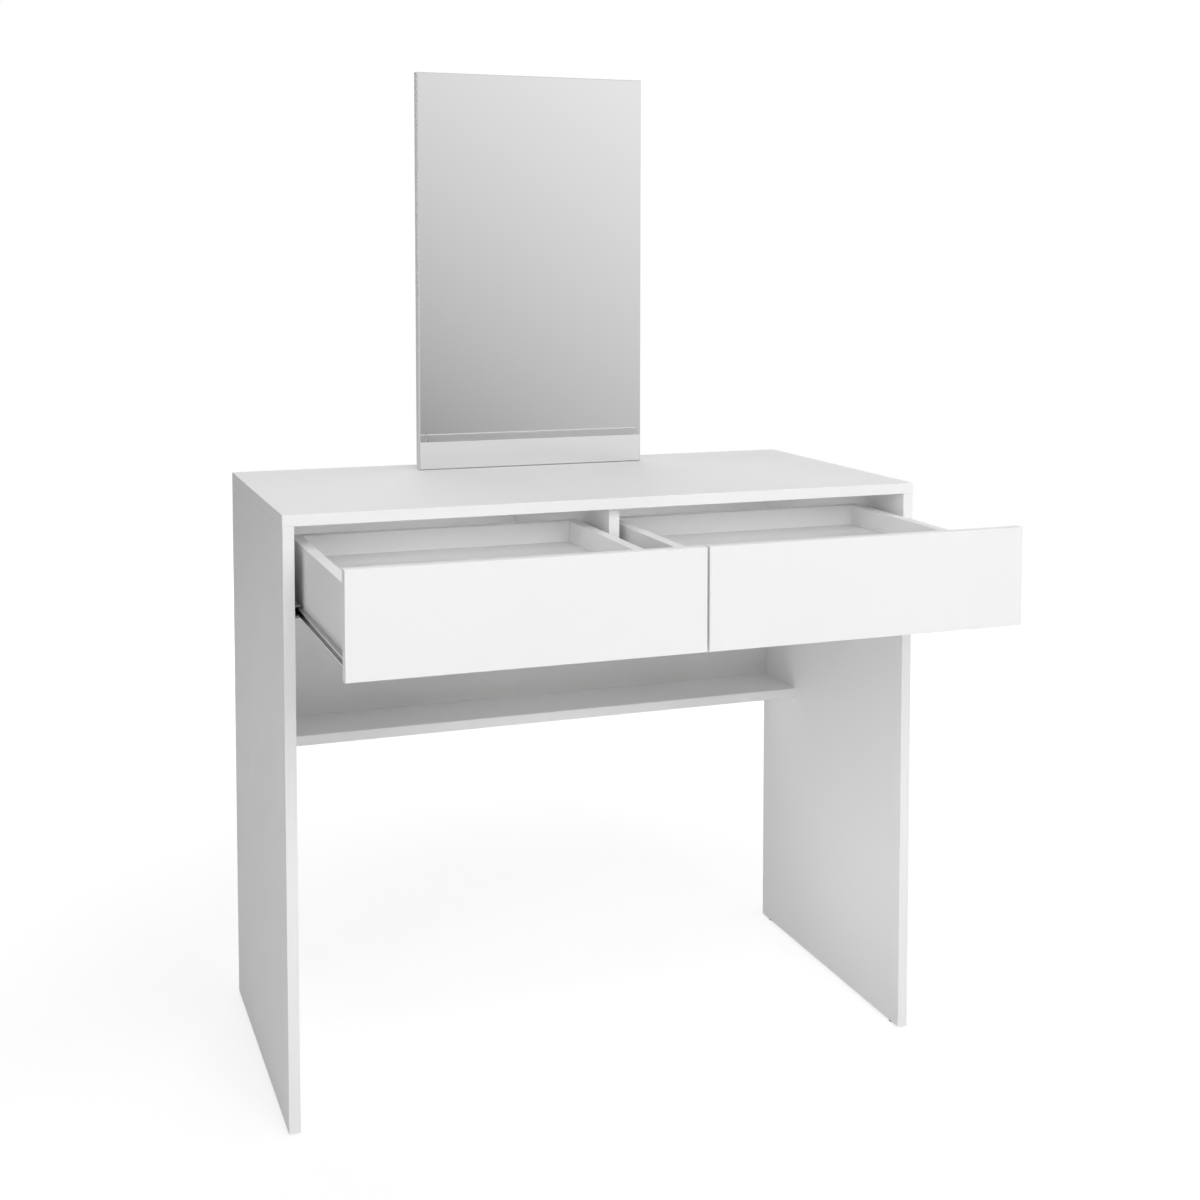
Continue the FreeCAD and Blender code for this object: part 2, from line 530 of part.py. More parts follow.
def drawer_back_and_bottom(drawer, inner_low, inner_high):
    """The drawer back between the sides, and the thin bottom in grooves all round."""
    back_y = BOX_BACK_Y - DRAWER_BOARD
    head = BOX_TOP - BAND
    add(drawer + "_back", block((inner_low, back_y, BOX_BOTTOM), (inner_high, BOX_BACK_Y, head)))
    band = edge_band((inner_low, back_y, head), (inner_high, BOX_BACK_Y, BOX_TOP), UP)
    add(drawer + "_box_edge_bands", band)
    reach = GROOVE_DEPTH - GROOVE_END_PLAY
    low = Vector(inner_low - reach, BOX_FRONT_Y - reach, BOX_FLOOR - THIN_BOARD)
    high = Vector(inner_high + reach, back_y + reach, BOX_FLOOR)
    add(drawer + "_bottom", block(low, high))
    play = Vector(GROOVE_END_PLAY, GROOVE_END_PLAY, GROOVE_PLAY)
    groove = block(low - play, high + play)
    for board in ("_front", "_left_side", "_right_side", "_back"):
        cut_from(drawer + board, groove)


def drawer_slides(bay, drawer, bay_low, bay_high, left_panel, right_panel, stagger):
    """The two slides of a drawer, from the boards of its bay to the drawer sides."""
    hands = (("left", left_panel, bay_low, 1), ("right", right_panel, bay_high, -1))
    for hand, panel, board_x, way in hands:
        runner("%s_%s_runner" % (bay, hand), panel, board_x, way, stagger)
        member = "%s_%s_slide" % (drawer, hand)
        side = "%s_%s_side" % (drawer, hand)
        drawer_member(member, drawer + "_slide_screws", side, board_x, way, stagger)
        ball_cage(drawer + "_ball_cages", drawer + "_balls", board_x, way)


def drawer(name, bay, bay_low, bay_high, front_low, front_high, left_panel, right_panel, stagger):
    """A whole drawer in its bay, drawn open."""
    box_low, box_high = bay_low + SLIDE_GAP, bay_high - SLIDE_GAP
    drawer_front(name, front_low, front_high)
    drawer_side(name, name + "_left_side", box_low, 1)
    drawer_side(name, name + "_right_side", box_high, -1)
    drawer_back_and_bottom(name, box_low + DRAWER_BOARD, box_high - DRAWER_BOARD)
    drawer_slides(bay, name, bay_low, bay_high, left_panel, right_panel, stagger)


def export():
    """Cut the holes and write one file for each node."""
    for node, solids in pieces.items():
        if node in cuts:
            solids = [part for solid in solids for part in solid.cut(cuts[node]).Solids]
        shape = solids[0] if len(solids) == 1 else Part.makeCompound(solids)
        shape.exportStep("parts/%s.step" % node)


top_panel()
side_panel("left_side_panel", -HALF_WIDTH, -INNER_X, RIGHT)
side_panel("right_side_panel", HALF_WIDTH, INNER_X, LEFT)
centre_divider()
rear_shelf()
back_panel()
mirror()
drawer(
    "left_drawer", "left_bay", -INNER_X, -BOARD / 2, FRONT_GAP - INNER_X, -FRONT_GAP / 2,
    "left_side_panel", "centre_divider", 0.0)
drawer(
    "right_drawer", "right_bay", BOARD / 2, INNER_X, FRONT_GAP / 2, INNER_X - FRONT_GAP,
    "centre_divider", "right_side_panel", SLIDE_SCREW_STAGGER)
export()
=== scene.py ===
import math

import bmesh
import bpy
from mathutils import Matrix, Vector


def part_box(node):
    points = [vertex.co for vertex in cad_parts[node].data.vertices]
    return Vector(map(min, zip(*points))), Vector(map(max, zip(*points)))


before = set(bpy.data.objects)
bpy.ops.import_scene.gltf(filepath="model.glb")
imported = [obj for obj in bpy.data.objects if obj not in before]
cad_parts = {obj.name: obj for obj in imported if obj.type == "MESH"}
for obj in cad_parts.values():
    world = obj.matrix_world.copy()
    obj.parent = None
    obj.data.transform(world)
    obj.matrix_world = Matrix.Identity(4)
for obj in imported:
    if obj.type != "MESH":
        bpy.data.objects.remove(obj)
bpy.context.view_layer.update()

# The camera looks a little down from the left of the table, and its frame is shifted down onto the object,
# which keeps upright edges nearly upright
CAMERA_PLACE = (-0.7902, -2.1738, 1.1186)
CAMERA_TURN = -20.003          # degrees about Z, from looking along +Y
CAMERA_TILT = -3.5             # degrees from level
CAMERA_LENS = 50.45            # millimetres
CAMERA_SENSOR = 36.0           # millimetres across
CAMERA_SHIFT = -0.1976         # share of the frame's width

# In the values of the finishes, colours are linear, sizes are metres, textures are in features per metre,
# and a pair of numbers is a range

# White laminate and its plastic edge band
LAMINATE = (0.94, 0.94, 0.94)
BAND = (0.943, 0.943, 0.943)
FACING = 0.0005                # thickness of the laminate on a board's faces
PEARL = 900.0
PEARL_GRIT = 1600.0
GRIT_SHARE = 0.5               # height of the grit beside that of the pearl
TONE_CLOUDS = 7.0
LAMINATE_TONE = 0.988
LAMINATE_TONE_SWING = 0.024
GLOSS_CLOUDS = 22.0
LAMINATE_ROUGH = (0.46, 0.58)
LAMINATE_MARKS = 0.05          # roughness that hand marks add
BAND_MARKS = 0.06              # the same on an edge band
BAND_SMOOTHER = 0.07           # how much less rough a band is than the laminate
BOARD_SPECULAR = 0.3

# Chipboard, where an edge or a bore is bare
CHIP_LIGHT = (0.58, 0.42, 0.25)
CHIP_MIDDLE = (0.40, 0.26, 0.135)
CHIP_DARK = (0.17, 0.095, 0.045)
CHIPS = 420.0
PALE_CHIPS = (0.0, 0.75)       # random picks that go from middle to light
DARK_CHIPS = 0.86              # random picks above this are dark
CHIP_FIBRES = 1500.0
CHIP_SHADE = (0.0, 0.45)       # how far the fibres darken a chip
CHIP_ROUGHER = 0.42            # how much rougher chips are than the laminate

# Hardboard, lacquered or bare
LACQUER = (0.93, 0.93, 0.929)
LACQUER_SKIN = 0.0002          # thickness of the lacquer on a sheet's faces
FIBRE_LIGHT = (0.33, 0.20, 0.105)
FIBRE_DARK = (0.15, 0.08, 0.038)
MATTED_FIBRES = 420.0
MATTED_SHARE = 0.8
FIBRE_PATCHES = 9.0
PATCH_SHARE = 0.2
FIBRE_SPREAD = (0.32, 0.68)
HARDBOARD_ROUGH = (0.5, 0.82)  # lacquered and bare

# Mirror glass
SILVER = (0.905, 0.906, 0.906)
GLASS_EDGE = (0.68, 0.70, 0.695)
GROUND_RIM = 0.00118           # width of the ground edge round the mirror
MIRROR_ROUGH = 0.008
MIRROR_MARKS = 0.012           # roughness that hand marks add
RIM_ROUGHER = 0.22             # roughness that grinding adds

# Hand marks
SMEARS = 16.0
SMEAR_STRETCH = (1.0, 1.0, 2.4)
SMEAR_SPREAD = (0.5, 0.74)

# Foam tape
FOAM = (0.55, 0.55, 0.54)
FOAM_CELLS = 2600.0
FOAM_CELL_WIDTH = (0.0, 0.6)
FOAM_TONE = (0.8, 1.05)
FOAM_ROUGH = 0.9

# Zinc-plated steel
ZINC = (0.50, 0.50, 0.505)
ROLLED_LINES = (2600.0, 16.0, 2600.0)
METAL_ROUGH = 0.2
METAL_ROUGH_SWING = 0.22
METAL_MOTTLE = 140.0
METAL_TONE = 0.84
METAL_TONE_SWING = 0.26

# Cast zinc
CAST_ZINC = (0.42, 0.425, 0.44)
CAST_SAND = 1300.0
CAST_TONE = (0.8, 1.15)
CAST_ROUGH = (0.38, 0.6)

# Steel balls
BALL = (0.74, 0.74, 0.75)
GREASE_FILM = 700.0
BALL_TONE = (0.85, 1.05)
BALL_ROUGH = (0.08, 0.28)

# Beech dowels
BEECH_LIGHT = (0.56, 0.37, 0.20)
BEECH_DARK = (0.40, 0.24, 0.115)
BEECH_GRAIN = (900.0, 120.0, 900.0)
BEECH_ROUGH = 0.7

# Floor glides
GLIDE = (0.014, 0.014, 0.015)
GLIDE_SCUFF = (0.09, 0.088, 0.085)
GLIDE_WEAR = 0.0004            # height of the scuffed foot
GLIDE_GRAIN = 1800.0
SCUFF_SPREAD = (0.4, 0.65)
SCUFF_SHARE = (0.2, 1.0)
GLIDE_ROUGH = (0.42, 0.62)
GLIDE_SPECULAR = 0.15

# Ranges
NOISE_SPREAD = (0.3, 0.7)      # where most values of a noise lie
NARROW_SPREAD = (0.35, 0.65)   # a narrower one, for more contrast
SHARE = (0.0, 1.0)

# Axes of a board's thickness
ACROSS = (1, 0, 0)
DEEP = (0, 1, 0)
HIGH = (0, 0, 1)

# Kinds of socket on a shader node group
VECTOR = "NodeSocketVector"
FLOAT = "NodeSocketFloat"
COLOUR = "NodeSocketColor"


def feed(tree, socket, value):
    """Link an output to a socket, or set the socket's own value."""
    if isinstance(value, bpy.types.NodeSocket):
        tree.links.new(value, socket)
    elif socket.type == "RGBA":
        socket.default_value = (*value, 1)
    else:
        socket.default_value = value


def add_node(tree, kind, inputs, **settings):
    """Add a shader node with its settings and its inputs, which go by name or by number."""
    made = tree.nodes.new("ShaderNode" + kind)
    for name, value in settings.items():
        setattr(made, name, value)
    for key, value in inputs.items():
        feed(tree, made.inputs[key], value)
    return made


def maths(tree, operation, *values):
    """The output of a Math node."""
    return add_node(tree, "Math", dict(enumerate(values)), operation=operation).outputs[0]


def blended(tree, share, first, second):
    """A colour between two, by a share from 0 to 1."""
    return add_node(tree, "Mix", {0: share, 6: first, 7: second}, data_type="RGBA").outputs[2]


def ranged(tree, value, source, target):
    """A value moved from one range to another, and held within it."""
    inputs = {"Value": value, "From Min": source[0], "From Max": source[1],
              "To Min": target[0], "To Max": target[1]}
    return add_node(tree, "MapRange", inputs).outputs["Result"]


def scaled(tree, place, scale):
    """Coordinates with their own scale along each axis."""
    return add_node(tree, "Mapping", {"Vector": place, "Scale": scale}).outputs["Vector"]


def noise(tree, place, scale, detail=2.0, roughness=0.5):
    """Cloudy noise around one half."""
    inputs = {"Vector": place, "Scale": scale, "Detail": detail, "Roughness": roughness}
    return add_node(tree, "TexNoise", inputs).outputs["Fac"]


def shader_group(name, inputs, outputs):
    """A new shader node group: its tree, the sockets that bring in values and those that put them out."""
    group = bpy.data.node_groups.new(name, "ShaderNodeTree")
    for socket_name, kind in inputs:
        group.interface.new_socket(socket_name, in_out="INPUT", socket_type=kind)
    for socket_name, kind in outputs:
        group.interface.new_socket(socket_name, in_out="OUTPUT", socket_type=kind)
    entry = group.nodes.new("NodeGroupInput")
    leave = group.nodes.new("NodeGroupOutput")
    return group, entry.outputs, leave.inputs


def placed(tree, group, inputs):
    """The outputs of a shader node group placed in a material."""
    made = tree.nodes.new("ShaderNodeGroup")
    made.node_tree = group
    for key, value in inputs.items():
        feed(tree, made.inputs[key], value)
    return made.outputs


def board_section_group():
    """Tells the core of a board from its two faces, by the distance from its middle plane."""
    sockets = [("Place", VECTOR), ("Axis", VECTOR), ("Middle", FLOAT), ("Half", FLOAT)]
    tree, given, out = shader_group("board section", sockets, [("Core", FLOAT), ("Height", FLOAT)])
    along = add_node(tree, "VectorMath", {0: given["Place"], 1: given["Axis"]}, operation="DOT_PRODUCT")
    height = maths(tree, "SUBTRACT", along.outputs["Value"], given["Middle"])
    feed(tree, out["Height"], height)
    feed(tree, out["Core"], maths(tree, "LESS_THAN", maths(tree, "ABSOLUTE", height), given["Half"]))
    return tree


def laminate_grain_group():
    """The fine pearl of a pressed laminate face: tone, gloss and height."""
    outputs = [("Tone", FLOAT), ("Gloss", FLOAT), ("Height", FLOAT)]
    tree, given, out = shader_group("laminate grain", [("Place", VECTOR)], outputs)
    pearl = add_node(tree, "TexVoronoi", {"Vector": given["Place"], "Scale": PEARL}, feature="SMOOTH_F1")
    fine = noise(tree, given["Place"], PEARL_GRIT)
    broad = noise(tree, given["Place"], TONE_CLOUDS, detail=3.0)
    feed(tree, out["Height"], maths(tree, "MULTIPLY_ADD", fine, GRIT_SHARE, pearl.outputs["Distance"]))
    feed(tree, out["Tone"], maths(tree, "MULTIPLY_ADD", broad, LAMINATE_TONE_SWING, LAMINATE_TONE))
    clouds = noise(tree, given["Place"], GLOSS_CLOUDS, detail=4.0, roughness=0.6)
    feed(tree, out["Gloss"], ranged(tree, clouds, NOISE_SPREAD, LAMINATE_ROUGH))
    return tree


def chipboard_group():
    """The pressed wood chips that show where a board's edge is left bare."""
    outputs = [("Color", COLOUR), ("Height", FLOAT)]
    tree, given, out = shader_group("chipboard", [("Place", VECTOR)], outputs)
    chips = add_node(tree, "TexVoronoi", {"Vector": given["Place"], "Scale": CHIPS})
    pick = add_node(tree, "SeparateColor", {0: chips.outputs["Color"]}).outputs[0]
    fibres = noise(tree, given["Place"], CHIP_FIBRES, detail=3.0, roughness=0.65)
    light = blended(tree, ranged(tree, pick, PALE_CHIPS, SHARE), CHIP_MIDDLE, CHIP_LIGHT)
    dark = maths(tree, "GREATER_THAN", pick, DARK_CHIPS)
    shade = ranged(tree, fibres, NOISE_SPREAD, CHIP_SHADE)
    feed(tree, out["Color"], blended(tree, maths(tree, "MAXIMUM", dark, shade), light, CHIP_DARK))
    feed(tree, out["Height"], maths(tree, "ADD", chips.outputs["Distance"], fibres))
    return tree


def hardboard_group():
    """The matted wood fibres on the bare face of a thin hardboard."""
    outputs = [("Color", COLOUR), ("Height", FLOAT)]
    tree, given, out = shader_group("hardboard fibre", [("Place", VECTOR)], outputs)
    matted = noise(tree, given["Place"], MATTED_FIBRES, detail=5.0, roughness=0.7)
    patches = noise(tree, given["Place"], FIBRE_PATCHES, detail=3.0)
    broad = maths(tree, "MULTIPLY", patches, PATCH_SHARE)
    share = maths(tree, "MULTIPLY_ADD", matted, MATTED_SHARE, broad)
    light = ranged(tree, share, FIBRE_SPREAD, SHARE)
    feed(tree, out["Color"], blended(tree, light, FIBRE_DARK, FIBRE_LIGHT))
    feed(tree, out["Height"], matted)
    return tree


def hand_marks_group():
    """Faint wipe and finger marks, as a share from 0 to 1."""
    tree, given, out = shader_group("hand marks", [("Place", VECTOR)], [("Mark", FLOAT)])
    wiped = scaled(tree, given["Place"], SMEAR_STRETCH)
    smears = noise(tree, wiped, SMEARS, detail=5.0, roughness=0.62)
    feed(tree, out["Mark"], ranged(tree, smears, SMEAR_SPREAD, SHARE))
    return tree


def rolled_metal_group():
    """Fine lines that rolling leaves along Y, with a mottle: tone, gloss and height."""
    outputs = [("Tone", FLOAT), ("Gloss", FLOAT), ("Height", FLOAT)]
    tree, given, out = shader_group("rolled metal", [("Place", VECTOR)], outputs)
    lines = noise(tree, scaled(tree, given["Place"], ROLLED_LINES), 1.0, detail=3.0)
    mottle = noise(tree, given["Place"], METAL_MOTTLE, detail=4.0, roughness=0.6)
    feed(tree, out["Tone"], maths(tree, "MULTIPLY_ADD", mottle, METAL_TONE_SWING, METAL_TONE))
    feed(tree, out["Gloss"], maths(tree, "MULTIPLY_ADD", lines, METAL_ROUGH_SWING, METAL_ROUGH))
    feed(tree, out["Height"], lines)
    return tree


BOARD_SECTION = board_section_group()
LAMINATE_GRAIN = laminate_grain_group()
CHIPBOARD = chipboard_group()
HARDBOARD = hardboard_group()
HAND_MARKS = hand_marks_group()
ROLLED_METAL = rolled_metal_group()


def new_material(name):
    """A node material: its tree, its Principled shader and its Object coordinates."""
    made = bpy.data.materials.new(name)
    made.use_nodes = True
    tree = made.node_tree
    shader = tree.nodes["Principled BSDF"]
    place = tree.nodes.new("ShaderNodeTexCoord").outputs["Object"]
    return made, tree, shader, place


def bumped(tree, height, strength, distance, under=None):
    """A normal from a height, laid over another normal if there is one."""
    inputs = {"Height": height, "Strength": strength, "Distance": distance}
    if under:
        inputs["Normal"] = under
    return add_node(tree, "Bump", inputs).outputs["Normal"]


def toned(tree, colour, tone):
    """A colour made darker or lighter by a tone around 1."""
    return add_node(tree, "VectorMath", {0: colour, 1: tone}, operation="MULTIPLY").outputs[0]


def middle_and_half(node, axis):
    """A board's middle plane and half its thickness along an axis."""
    low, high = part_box(node)
    direction = Vector(axis)
    return (low + high).dot(direction) / 2, (high - low).dot(direction) / 2


def laminate_board(node, axis):
    """White laminate on the two faces of a board, and bare chipboard on its cut edges and in its bores."""
    made, tree, shader, place = new_material(node + "_laminate")
    middle, half = middle_and_half(node, axis)
    core = half - FACING
    section = placed(tree, BOARD_SECTION, {"Place": place, "Axis": axis, "Middle": middle, "Half": core})
    grain = placed(tree, LAMINATE_GRAIN, {"Place": place})
    chips = placed(tree, CHIPBOARD, {"Place": place})
    marks = placed(tree, HAND_MARKS, {"Place": place})
    white = toned(tree, LAMINATE, grain["Tone"])
    feed(tree, shader.inputs["Base Color"], blended(tree, section["Core"], white, chips["Color"]))
    wiped = maths(tree, "MULTIPLY_ADD", marks["Mark"], LAMINATE_MARKS, grain["Gloss"])
    rough = maths(tree, "MULTIPLY_ADD", section["Core"], CHIP_ROUGHER, wiped)
    feed(tree, shader.inputs["Roughness"], rough)
    pressed = bumped(tree, grain["Height"], strength=0.05, distance=0.0002)
    torn = maths(tree, "MULTIPLY", chips["Height"], section["Core"])
    feed(tree, shader.inputs["Normal"], bumped(tree, torn, strength=0.5, distance=0.0005, under=pressed))
    feed(tree, shader.inputs["Specular IOR Level"], BOARD_SPECULAR)
    return made


def edge_band():
    """White plastic edge band, a little smoother than the laminate."""
    made, tree, shader, place = new_material("edge_band")
    grain = placed(tree, LAMINATE_GRAIN, {"Place": place})
    marks = placed(tree, HAND_MARKS, {"Place": place})
    feed(tree, shader.inputs["Base Color"], toned(tree, BAND, grain["Tone"]))
    satin = maths(tree, "SUBTRACT", grain["Gloss"], BAND_SMOOTHER)
    feed(tree, shader.inputs["Roughness"], maths(tree, "MULTIPLY_ADD", marks["Mark"], BAND_MARKS, satin))
    feed(tree, shader.inputs["Normal"], bumped(tree, grain["Height"], strength=0.025, distance=0.0002))
    feed(tree, shader.inputs["Specular IOR Level"], BOARD_SPECULAR)
    return made


def hardboard_sheet(node, axis, bare_rear=False):
    """Hardboard with white lacquer on its faces, and bare fibres on its edges and on a bare rear."""
    made, tree, shader, place = new_material(node + "_hardboard")
    middle, half = middle_and_half(node, axis)
    core = half - LACQUER_SKIN
    section = placed(tree, BOARD_SECTION, {"Place": place, "Axis": axis, "Middle": middle, "Half": core})
    bare = section["Core"]
    if bare_rear:
        bare = maths(tree, "MAXIMUM", bare, maths(tree, "GREATER_THAN", section["Height"], core))
    grain = placed(tree, LAMINATE_GRAIN, {"Place": place})
    fibre = placed(tree, HARDBOARD, {"Place": place})
    lacquer = toned(tree, LACQUER, grain["Tone"])
    feed(tree, shader.inputs["Base Color"], blended(tree, bare, lacquer, fibre["Color"]))
    feed(tree, shader.inputs["Roughness"], ranged(tree, bare, SHARE, HARDBOARD_ROUGH))
    feed(tree, shader.inputs["Normal"], bumped(tree, fibre["Height"], strength=0.12, distance=0.0003))
    feed(tree, shader.inputs["Specular IOR Level"], BOARD_SPECULAR)
    return made


def silvered_glass():
    """A silvered mirror whose ground rim shows a trace of the green of the glass."""
    made, tree, shader, place = new_material("silvered_glass")
    low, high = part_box("mirror_glass")
    axes = add_node(tree, "SeparateXYZ", {0: place}).outputs
    to_side = maths(tree, "SUBTRACT", (high.x - low.x) / 2, maths(tree, "ABSOLUTE", axes["X"]))
    above = maths(tree, "SUBTRACT", axes["Z"], (low.z + high.z) / 2)
    to_end = maths(tree, "SUBTRACT", (high.z - low.z) / 2, maths(tree, "ABSOLUTE", above))
    rim = maths(tree, "LESS_THAN", maths(tree, "MINIMUM", to_side, to_end), GROUND_RIM)
    marks = placed(tree, HAND_MARKS, {"Place": place})
    feed(tree, shader.inputs["Base Color"], blended(tree, rim, SILVER, GLASS_EDGE))
    polish = maths(tree, "MULTIPLY_ADD", marks["Mark"], MIRROR_MARKS, MIRROR_ROUGH)
    feed(tree, shader.inputs["Roughness"], maths(tree, "MULTIPLY_ADD", rim, RIM_ROUGHER, polish))
    feed(tree, shader.inputs["Metallic"], 1.0)
    return made


def foam_tape():
    """Pale closed-cell foam."""
    made, tree, shader, place = new_material("foam_tape")
    cells = add_node(tree, "TexVoronoi", {"Vector": place, "Scale": FOAM_CELLS}).outputs["Distance"]
    tone = ranged(tree, cells, FOAM_CELL_WIDTH, FOAM_TONE)
    feed(tree, shader.inputs["Base Color"], toned(tree, FOAM, tone))
    feed(tree, shader.inputs["Normal"], bumped(tree, cells, strength=0.4, distance=0.0002))
    feed(tree, shader.inputs["Roughness"], FOAM_ROUGH)
    return made


def zinc_steel():
    """Zinc-plated rolled steel of the slides, screws, bolts and nails."""
    made, tree, shader, place = new_material("zinc_steel")
    metal = placed(tree, ROLLED_METAL, {"Place": place})
    feed(tree, shader.inputs["Base Color"], toned(tree, ZINC, metal["Tone"]))
    feed(tree, shader.inputs["Roughness"], metal["Gloss"])
    feed(tree, shader.inputs["Normal"], bumped(tree, metal["Height"], strength=0.06, distance=0.0001))
    feed(tree, shader.inputs["Metallic"], 1.0)
    return made


def zinc_casting():
    """The dull grain of cast zinc cams."""
    made, tree, shader, place = new_material("zinc_casting")
    sand = noise(tree, place, CAST_SAND, detail=4.0, roughness=0.65)
    tone = ranged(tree, sand, NOISE_SPREAD, CAST_TONE)
    feed(tree, shader.inputs["Base Color"], toned(tree, CAST_ZINC, tone))
    feed(tree, shader.inputs["Roughness"], ranged(tree, sand, NOISE_SPREAD, CAST_ROUGH))
    feed(tree, shader.inputs["Normal"], bumped(tree, sand, strength=0.3, distance=0.0002))
    feed(tree, shader.inputs["Metallic"], 1.0)
    return made


def ball_steel():
    """Polished balls with a thin film of grease."""
    made, tree, shader, place = new_material("ball_steel")
    film = noise(tree, place, GREASE_FILM, detail=3.0)
    tone = ranged(tree, film, NOISE_SPREAD, BALL_TONE)
    feed(tree, shader.inputs["Base Color"], toned(tree, BALL, tone))
    feed(tree, shader.inputs["Roughness"], ranged(tree, film, NARROW_SPREAD, BALL_ROUGH))
    feed(tree, shader.inputs["Metallic"], 1.0)
    return made


def dowel_wood():
    """Straight-grained beech."""
    made, tree, shader, place = new_material("dowel_wood")
    grain = noise(tree, scaled(tree, place, BEECH_GRAIN), 1.0, detail=4.0, roughness=0.6)
    light = ranged(tree, grain, NARROW_SPREAD, SHARE)
    feed(tree, shader.inputs["Base Color"], blended(tree, light, BEECH_DARK, BEECH_LIGHT))
    feed(tree, shader.inputs["Normal"], bumped(tree, grain, strength=0.2, distance=0.0003))
    feed(tree, shader.inputs["Roughness"], BEECH_ROUGH)
    return made


def glide_plastic():
    """Moulded black plastic, scuffed where it slides on the floor."""
    made, tree, shader, place = new_material("glide_plastic")
    grain = noise(tree, place, GLIDE_GRAIN, detail=3.0, roughness=0.6)
    low = add_node(tree, "SeparateXYZ", {0: place}).outputs["Z"]
    worn = ranged(tree, low, (0.0, GLIDE_WEAR), (1.0, 0.0))
    scuff = maths(tree, "MULTIPLY", worn, ranged(tree, grain, SCUFF_SPREAD, SCUFF_SHARE))
    feed(tree, shader.inputs["Base Color"], blended(tree, scuff, GLIDE, GLIDE_SCUFF))
    feed(tree, shader.inputs["Roughness"], ranged(tree, grain, NOISE_SPREAD, GLIDE_ROUGH))
    feed(tree, shader.inputs["Normal"], bumped(tree, grain, strength=0.2, distance=0.0001))
    feed(tree, shader.inputs["Specular IOR Level"], GLIDE_SPECULAR)
    return made


def finish_node(node, material):
    """Give a CAD node its finish through its material slots."""
    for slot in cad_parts[node].material_slots:
        slot.material = material


def finish_boards():
    """A finish of its own for every board and hardboard, because each lies in its own plane."""
    for node, axis in (
            ("top_panel", HIGH), ("rear_shelf", HIGH), ("left_side_panel", ACROSS),
            ("right_side_panel", ACROSS), ("centre_divider", ACROSS), ("mirror_board", DEEP)):
        finish_node(node, laminate_board(node, axis))
    finish_node("back_panel", hardboard_sheet("back_panel", DEEP, bare_rear=True))
    for drawer in ("left_drawer", "right_drawer"):
        for piece, axis in (
                ("_front", DEEP), ("_back", DEEP), ("_left_side", ACROSS), ("_right_side", ACROSS)):
            finish_node(drawer + piece, laminate_board(drawer + piece, axis))
        finish_node(drawer + "_bottom", hardboard_sheet(drawer + "_bottom", HIGH))


def finish_fittings():
    """One finish for all the nodes of a kind, found by a word in their names."""
    kinds = (
        (edge_band(), ("edge_band", "cam_caps")), (foam_tape(), ("tape",)), (ball_steel(), ("balls",)),
        (zinc_casting(), ("cam_locks",)), (dowel_wood(), ("dowels",)), (glide_plastic(), ("glides",)),
        (silvered_glass(), ("mirror_glass",)),
        (zinc_steel(), ("runner", "slide", "screws", "bolts", "nails", "cages")))
    for material, words in kinds:
        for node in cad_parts:
            if any(word in node for word in words):
                finish_node(node, material)


finish_boards()
finish_fittings()


# The studio: a pale floor, large soft lamps all round, a small one under the table and a white background
FLOOR_RADIUS = 5.0
FLOOR_MATT = (0.90, 0.90, 0.90)
FLOOR_SHADOWED = (0.42, 0.42, 0.42)     # the share of the seen floor that takes the table's shadow
FLOOR_NEAR = 0.8               # metres from the middle, within which the floor glows least
FLOOR_FAR = 2.6                # metres from the middle, past which it glows white
FLOOR_GLOW = (0.72, 1.0)
FLOOR_RIM_FADE = 0.50          # how far the mirrored floor dims towards its rim

WALL_ASIDE = 0.24              # the middle of the wall, this far to each side, is even
WALL_SLANT = 0.7               # how much the sides of the wall count beside its height
WALL_SLOPE = (0.05, 0.35)      # where the wall starts and stops to brighten
WALL_CURVE = 0.72              # power of that rise
WALL_GREY = 0.30               # brightness at its foot
WALL_RISE = 0.56               # brightness added at its top

LAMP_AIM = (0.0, 0.0, 0.65)
LAMPS = (                      # name, place, width in metres, watts
    ("right_front_lamp", (2.6, -2.6, 1.8), 2.4, 24.0),
    ("left_front_lamp", (-2.8, -2.4, 1.8), 2.4, 38.5),
    ("high_front_lamp", (0.3, -3.45, 2.65), 2.2, 66.0),
    ("right_lamp", (3.5, -0.4, 1.5), 2.4, 30.0),
    ("back_lamp", (0.0, 3.4, 2.2), 2.6, 36.0),
    ("top_lamp", (0.0, 0.2, 3.8), 2.6, 35.0),
    ("floor_lamp", (0.0, 0.0, 0.03), 0.35, 0.58))


def soft_lamp(name, place, width, power):
    """A square area lamp aimed at the middle of the table."""
    lamp = bpy.data.lights.new(name, "AREA")
    lamp.shape = "SQUARE"
    lamp.size = width
    lamp.energy = power
    holder = bpy.data.objects.new(name, lamp)
    holder.location = place
    holder.rotation_euler = (Vector(LAMP_AIM) - Vector(place)).to_track_quat("-Z", "Y").to_euler()
    holder.visible_camera = False
    holder.visible_glossy = False
    bpy.context.scene.collection.objects.link(holder)


def mirrored_rays(tree):
    """A share of 1 for the rays that a surface mirrors or lets through."""
    ray = add_node(tree, "LightPath", {}).outputs
    return maths(tree, "MAXIMUM", ray["Is Glossy Ray"], ray["Is Transmission Ray"])


def background_rays(tree):
    """A share of 1 for the rays that show the background, straight or mirrored."""
    seen = add_node(tree, "LightPath", {}).outputs["Is Camera Ray"]
    return maths(tree, "MAXIMUM", seen, mirrored_rays(tree))


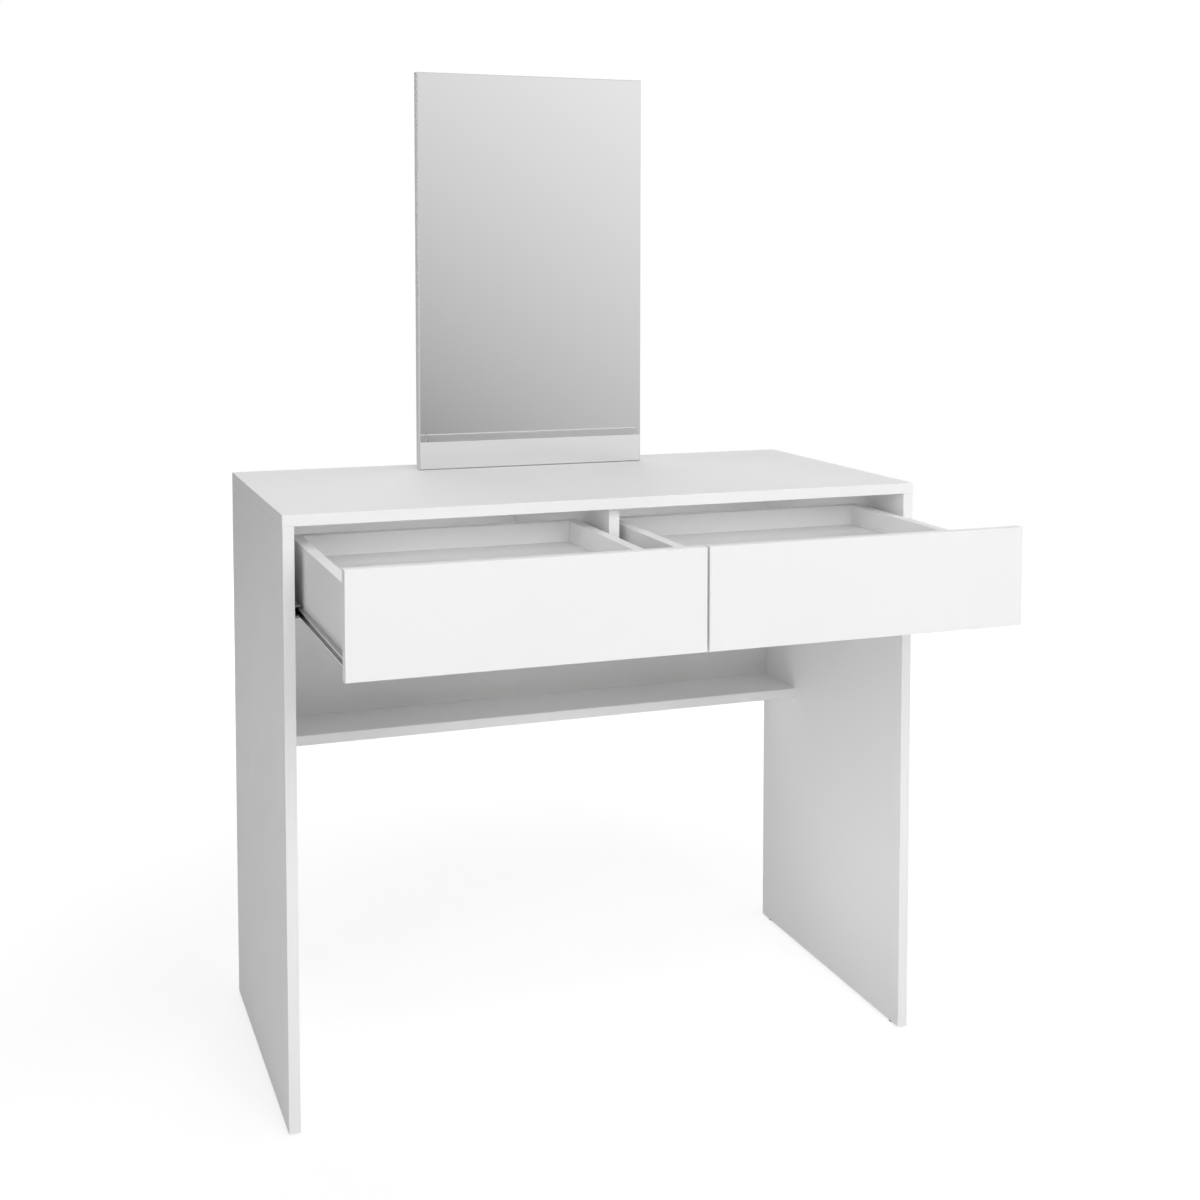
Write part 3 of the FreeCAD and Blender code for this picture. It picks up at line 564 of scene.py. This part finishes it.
def floor_material():
    """White where nothing shades it, with the table's shadow where the background shows."""
    made = bpy.data.materials.new("studio_floor")
    made.use_nodes = True
    tree = made.node_tree
    tree.nodes.clear()
    place = tree.nodes.new("ShaderNodeTexCoord").outputs["Object"]
    away = add_node(tree, "VectorMath", {0: place}, operation="LENGTH").outputs["Value"]
    matt = add_node(tree, "BsdfDiffuse", {"Color": FLOOR_MATT}).outputs[0]
    near = ranged(tree, away, (FLOOR_NEAR, FLOOR_FAR), FLOOR_GLOW)
    fade = ranged(tree, away, (FLOOR_FAR, FLOOR_RADIUS), (0.0, FLOOR_RIM_FADE))
    rim = maths(tree, "MULTIPLY", mirrored_rays(tree), fade)
    glow = add_node(tree, "Emission", {"Strength": maths(tree, "SUBTRACT", near, rim)}).outputs[0]
    pale = add_node(tree, "BsdfDiffuse", {"Color": FLOOR_SHADOWED}).outputs[0]
    seen = add_node(tree, "AddShader", {0: glow, 1: pale}).outputs[0]
    mixed = add_node(tree, "MixShader", {0: background_rays(tree), 1: matt, 2: seen}).outputs[0]
    add_node(tree, "OutputMaterial", {"Surface": mixed})
    return made


def studio_floor():
    """A round floor under the table."""
    mesh = bmesh.new()
    bmesh.ops.create_circle(mesh, cap_ends=True, segments=96, radius=FLOOR_RADIUS)
    data = bpy.data.meshes.new("studio_floor")
    mesh.to_mesh(data)
    mesh.free()
    floor = bpy.data.objects.new("studio_floor", data)
    bpy.context.scene.collection.objects.link(floor)
    data.materials.append(floor_material())


def studio_world():
    """White behind the object, and for what mirrors it a wall that goes from grey to nearly white."""
    world = bpy.data.worlds.new("studio")
    bpy.context.scene.world = world
    world.use_nodes = True
    tree = world.node_tree
    tree.nodes.clear()
    toward = tree.nodes.new("ShaderNodeTexCoord").outputs["Generated"]
    way = add_node(tree, "SeparateXYZ", {0: toward}).outputs
    aside = maths(tree, "MAXIMUM", maths(tree, "ABSOLUTE", way["X"]), WALL_ASIDE)
    slope = maths(tree, "MULTIPLY_ADD", aside, WALL_SLANT, way["Z"])
    rise = maths(tree, "POWER", ranged(tree, slope, WALL_SLOPE, SHARE), WALL_CURVE)
    level = maths(tree, "MULTIPLY_ADD", rise, WALL_RISE, WALL_GREY)
    wall = add_node(tree, "Background", {"Color": (1, 1, 1), "Strength": level}).outputs[0]
    white = add_node(tree, "Background", {"Color": (1, 1, 1), "Strength": 1.0}).outputs[0]
    ray = add_node(tree, "LightPath", {}).outputs
    shown = add_node(tree, "MixShader", {0: ray["Is Camera Ray"], 1: wall, 2: white}).outputs[0]
    seen = add_node(tree, "MixShader", {0: background_rays(tree), 2: shown}).outputs[0]
    add_node(tree, "OutputWorld", {"Surface": seen})


def camera():
    """The camera at the photograph's viewing angle."""
    data = bpy.data.cameras.new("camera")
    data.lens = CAMERA_LENS
    data.sensor_width = CAMERA_SENSOR
    data.shift_y = CAMERA_SHIFT
    holder = bpy.data.objects.new("camera", data)
    holder.location = CAMERA_PLACE
    holder.rotation_euler = (math.radians(90 + CAMERA_TILT), 0, math.radians(CAMERA_TURN))
    bpy.context.scene.collection.objects.link(holder)
    bpy.context.scene.camera = holder


studio_floor()
studio_world()
for lamp in LAMPS:
    soft_lamp(*lamp)
camera()
bpy.context.scene.view_settings.view_transform = "Standard"
